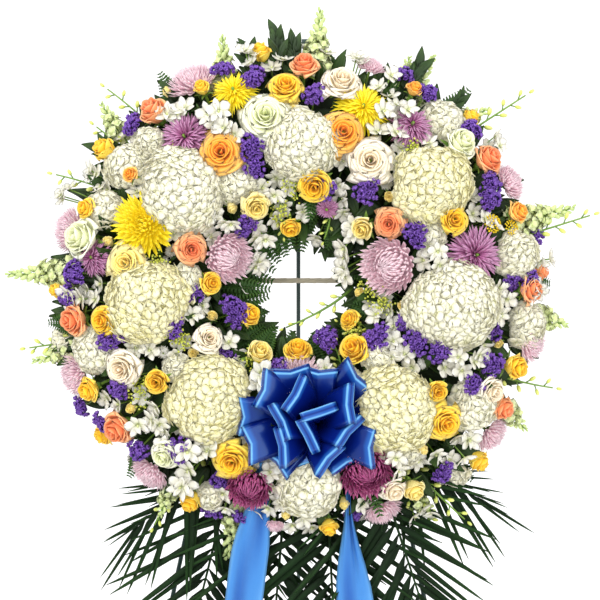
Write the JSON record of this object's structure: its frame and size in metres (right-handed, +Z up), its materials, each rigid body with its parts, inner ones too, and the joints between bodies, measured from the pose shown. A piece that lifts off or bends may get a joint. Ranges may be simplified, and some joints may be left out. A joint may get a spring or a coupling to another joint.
{
  "type": "funeral wreath",
  "caption": "Round standing wreath of mixed cut flowers in a foam ring with a satin bow and tails, tied to a folding wire easel.",
  "frame": {"origin": "on the floor, under the middle of the whole object's box", "axes": "+Z up, the flowers face -Y and lean back towards +Y, +X is to the right of someone looking at the flowers"},
  "size_m": [0.9914, 0.846, 1.5795],
  "materials": {
    "hydrangea_petals": "soft matt cream petals with greenish hearts",
    "yellow_petals": "velvety yellow rose petals, deeper in the heart",
    "golden_petals": "velvety golden-orange rose petals",
    "coral_petals": "velvety peach rose petals with coral edges",
    "cream_petals": "velvety cream rose petals with a pinkish heart",
    "green_white_petals": "velvety green-white rose petals",
    "lemon_petals": "matt bright yellow chrysanthemum petals",
    "mauve_petals": "matt mauve chrysanthemum petals, paler at the tips",
    "magenta_petals": "matt magenta chrysanthemum petals",
    "lavender_petals": "matt pale lavender chrysanthemum petals",
    "snapdragon_florets": "soft cream-green florets and buds",
    "orchid_petals": "waxy white petals with green buds",
    "leaves": "dark green leaves, half glossy",
    "palm": "very dark green ribbed leaflets",
    "floral_foam": "fine-celled matt green foam",
    "tray_plastic": "moulded dark green plastic",
    "bow_satin": "shiny royal-blue satin ribbon",
    "tail_satin": "shiny blue satin ribbon, paler where it hangs in the light",
    "easel_wire": "dark green enamelled steel rod",
    "bright_steel": "zinc-plated steel",
    "bar_wrapping": "pale cloth tape wound at a slant",
    "rubber": "matt black rubber"
  },
  "bodies": {
    "easel_and_wreath": {"easel_leg_left": "easel_wire", "easel_leg_right": "easel_wire", "leg_stop": "easel_wire", "lower_bar": "easel_wire", "hook_left": "easel_wire", "hook_right": "easel_wire", "wrapped_crossbar": "bar_wrapping", "hinge_bolt": "bright_steel", "hinge_nut": "bright_steel", "tie_wire_left": "bright_steel", "tie_wire_right": "bright_steel", "foot_tip_left": "rubber", "foot_tip_right": "rubber", "ring_tray": "tray_plastic", "foam_ring": "floral_foam", "leaf_bed": "leaves", "bow": "bow_satin", "ribbon_tail_left": "tail_satin", "ribbon_tail_right": "tail_satin", "hydrangea_1": "hydrangea_petals", "hydrangea_2": "hydrangea_petals", "hydrangea_3": "hydrangea_petals", "hydrangea_4": "hydrangea_petals", "hydrangea_5": "hydrangea_petals", "hydrangea_6": "hydrangea_petals", "hydrangea_7": "hydrangea_petals", "hydrangea_8": "hydrangea_petals", "spider_mum_yellow": "lemon_petals", "mum_lavender_left": "lavender_petals", "mum_lavender_right": "lavender_petals", "mum_lilac_low": "lavender_petals", "mum_mauve_right": "mauve_petals", "mum_mauve_top": "mauve_petals", "mum_magenta_left": "magenta_petals", "mum_magenta_right": "magenta_petals", "rose_white": "green_white_petals", "rose_golden": "golden_petals", "rose_cream": "cream_petals", "rose_amber": "golden_petals", "rose_yellow_top": "yellow_petals", "rose_yellow_left": "yellow_petals", "rose_orange": "coral_petals", "rose_coral": "coral_petals", "rose_gold_right": "yellow_petals", "rose_gold_left": "yellow_petals", "snapdragon_top": "snapdragon_florets", "snapdragon_left": "snapdragon_florets", "snapdragon_right": "snapdragon_florets", "snapdragon_low": "snapdragon_florets", "orchid_buds_right": "orchid_petals", "orchid_buds_high": "orchid_petals", "orchid_buds_left": "orchid_petals", "palm_frond_1": "palm", "palm_frond_2": "palm", "palm_frond_3": "palm", "palm_frond_4": "palm", "palm_frond_5": "palm", "palm_frond_6": "palm"},
    "back_leg": {"easel_back_leg": "easel_wire", "foot_tip_back": "rubber"}
  },
  "joints": [
    {"name": "back_leg_hinge", "type": "hinge", "parent": "easel_and_wreath", "child": "back_leg", "pos_m": [0.001, -0.08058, 1.5209], "axis": [1, 0, 0], "range_deg": [-26, 0]}
  ]
}
